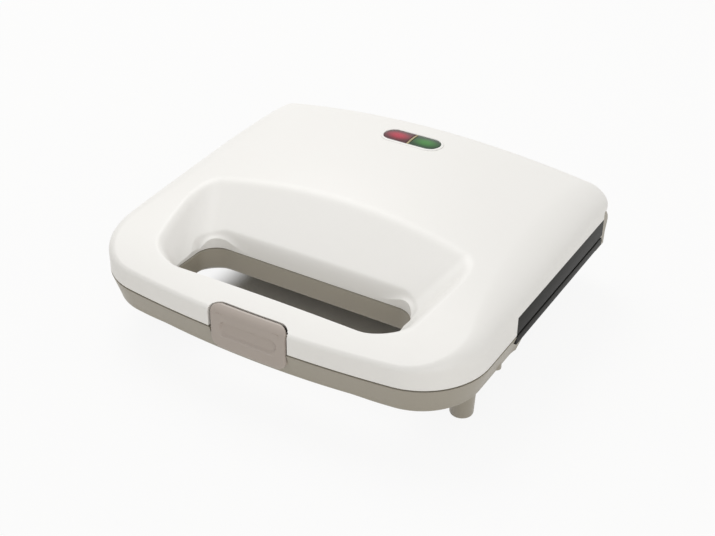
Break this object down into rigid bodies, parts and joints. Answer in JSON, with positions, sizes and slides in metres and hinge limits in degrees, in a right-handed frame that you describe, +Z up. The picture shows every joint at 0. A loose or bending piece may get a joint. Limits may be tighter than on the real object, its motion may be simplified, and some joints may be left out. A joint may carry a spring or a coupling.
{
  "type": "sandwich toaster",
  "caption": "Closed countertop sandwich toaster: hinged white lid with a scooped through handle, drafted lower shell on posts, facing grill plates and a sprung front latch.",
  "frame": {"origin": "on the table, under the middle of the closed toaster", "axes": "+X to the right seen from the handle side, +Y to the hinge, +Z up"},
  "size_m": [0.24, 0.2197, 0.0838],
  "materials": {
    "white_shell": "semi-gloss moulded white",
    "beige_shell": "satin champagne beige",
    "dark_frame": "matt dark grey, heat resistant",
    "coated_plate": "dark non-stick coating",
    "element_sheath": "heat-tinted steel sheath",
    "sheet_metal": "bright sheet",
    "screws": "zinc plated",
    "hinge_steel": "drawn steel",
    "terminal_ceramic": "glazed ceramic",
    "fuse_body": "phenolic",
    "lead_sleeving": "silicone sleeving",
    "rubber_pads": "matt rubber",
    "red_lens": "clear red",
    "green_lens": "clear green",
    "light_bar": "clear amber",
    "neon_glass": "clear"
  },
  "bodies": {
    "base": {"lower_housing": "beige_shell", "lower_handle_cover": "beige_shell", "foot_pads": "rubber_pads", "lower_plate_frame": "dark_frame", "lower_plate": "coated_plate", "lower_heating_element": "element_sheath", "lower_reflector": "sheet_metal", "lower_frame_screws": "screws", "lower_cover_screws": "screws", "terminal_block": "terminal_ceramic", "thermal_fuse": "fuse_body", "cord_clamp": "dark_frame", "cord_grommet": "rubber_pads", "hinge_sleeve_left": "hinge_steel", "hinge_sleeve_right": "hinge_steel", "lid_lead": "lead_sleeving"},
    "lid": {"upper_housing": "white_shell", "upper_handle_cover": "white_shell", "upper_plate_frame": "dark_frame", "upper_plate": "coated_plate", "upper_heating_element": "element_sheath", "upper_reflector": "sheet_metal", "upper_frame_screws": "screws", "upper_cover_screws": "screws", "thermostat": "fuse_body", "indicator_bezel": "white_shell", "indicator_lens_red": "red_lens", "indicator_lens_green": "green_lens", "indicator_light_bar": "light_bar", "lamp_holder": "dark_frame", "neon_lamps": "neon_glass", "latch_pin": "hinge_steel", "latch_spring": "hinge_steel"},
    "latch": {"latch": "beige_shell"}
  },
  "joints": [
    {"name": "lid_hinge", "type": "hinge", "parent": "base", "child": "lid", "pos_m": [0, 0.099, 0.044], "axis": [-1, 0, 0], "range_deg": [0, 100]},
    {"name": "latch_pivot", "type": "hinge", "parent": "lid", "child": "latch", "pos_m": [0, -0.1045, 0.0487], "axis": [-1, 0, 0], "range_deg": [0, 12], "stiffness_Nm_per_rad": 0.15}
  ]
}
